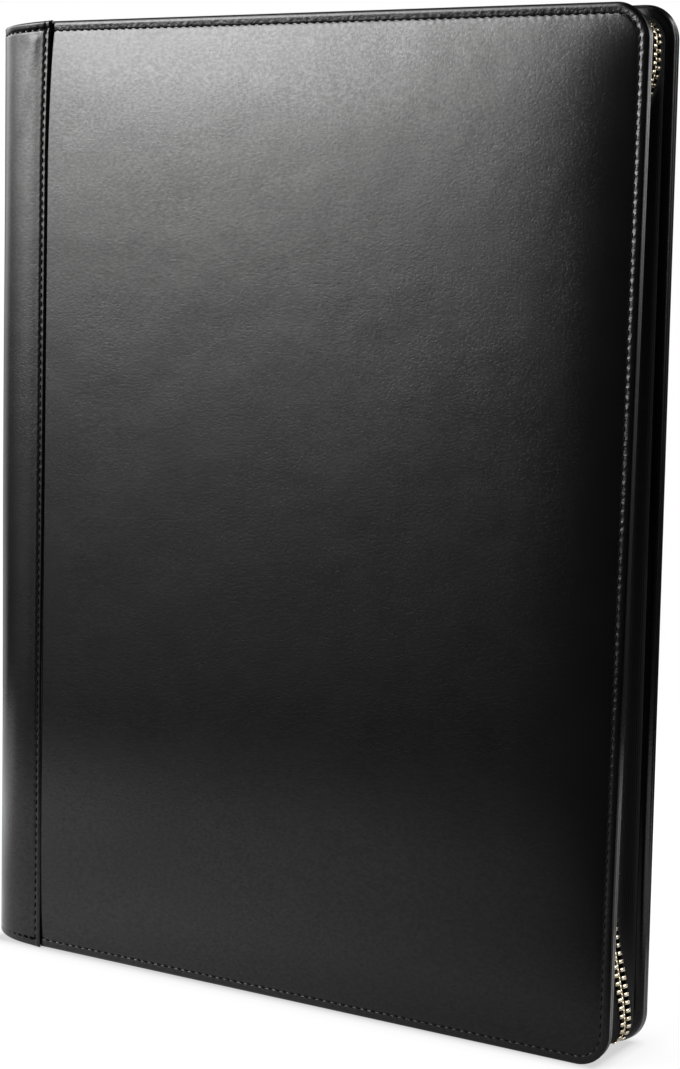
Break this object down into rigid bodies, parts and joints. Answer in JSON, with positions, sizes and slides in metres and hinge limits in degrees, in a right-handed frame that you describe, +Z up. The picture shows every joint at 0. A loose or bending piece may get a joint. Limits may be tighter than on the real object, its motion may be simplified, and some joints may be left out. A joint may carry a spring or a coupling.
{
  "type": "zip-around portfolio",
  "caption": "Flat document portfolio in black leather with padded covers, a rounded sewn spine and a metal zip round its free edges, closed and standing upright.",
  "frame": {"origin": "middle of the footprint, on the surface that the portfolio stands on", "axes": "+X from the spine to the fore edge, +Y out of the rear cover, +Z up"},
  "size_m": [0.268, 0.0348, 0.35],
  "materials": {
    "leather": "smooth black leather, semi-gloss, fine grain",
    "zip_tape": "black woven tape",
    "zip_metal": "polished pale brass"
  },
  "bodies": {
    "root": {"front_cover": "leather", "rear_cover": "leather", "spine_panel": "leather", "zip_tape_front": "zip_tape", "zip_tape_rear": "zip_tape", "zip_chain": "zip_metal", "zip_slider": "zip_metal"}
  },
  "joints": []
}
